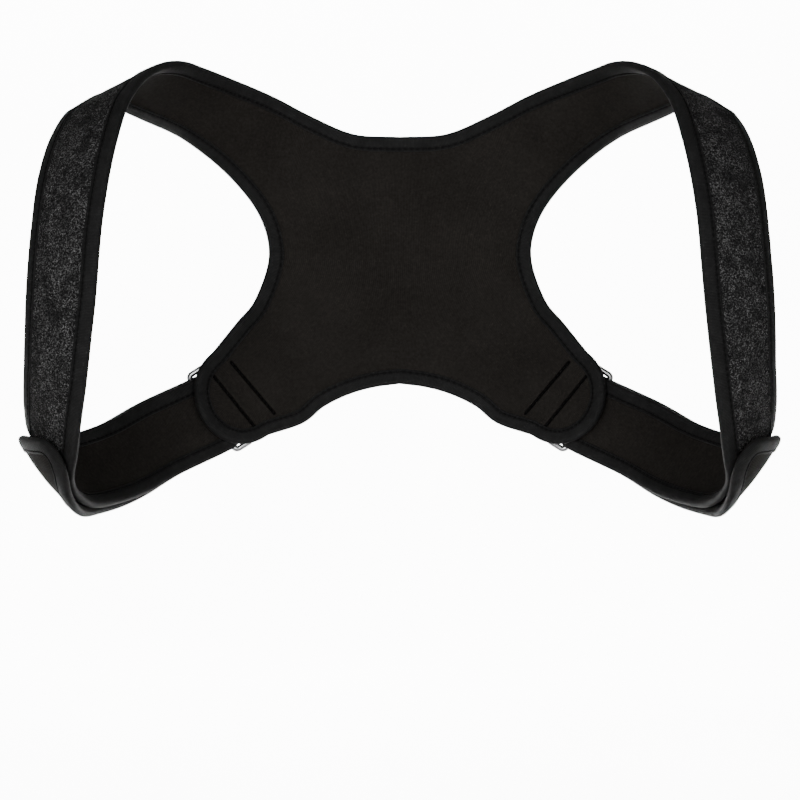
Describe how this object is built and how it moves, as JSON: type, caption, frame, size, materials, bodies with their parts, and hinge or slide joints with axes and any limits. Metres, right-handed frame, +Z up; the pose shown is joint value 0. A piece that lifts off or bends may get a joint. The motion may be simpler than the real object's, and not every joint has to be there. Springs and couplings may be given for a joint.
{
  "type": "posture corrector",
  "caption": "Posture corrector: X-shaped neoprene back panel whose padded straps loop over the shoulders, under the arms and back through metal rings to hook patches.",
  "frame": {"origin": "middle between the shoulders, at the height where the straps lie on them", "axes": "+X to the wearer's left, +Y out of the wearer's back, +Z up"},
  "size_m": [0.4192, 0.1925, 0.2579],
  "materials": {
    "neoprene": "smooth black knit on foam",
    "pile": "black looped pile on foam",
    "tape": "black woven edge tape, stitched",
    "webbing": "black woven webbing",
    "hook": "black moulded hooks",
    "metal": "polished nickel plate"
  },
  "bodies": {
    "root": {"back_panel": "neoprene", "neck_binding": "tape", "lower_binding": "tape", "shoulder_strap_right": "pile", "shoulder_strap_left": "pile", "strap_binding_right": "tape", "strap_binding_left": "tape", "hook_patch_right": "hook", "hook_patch_left": "hook", "ring_loop_right": "webbing", "ring_loop_left": "webbing", "ring_right": "metal", "ring_left": "metal"}
  },
  "joints": []
}
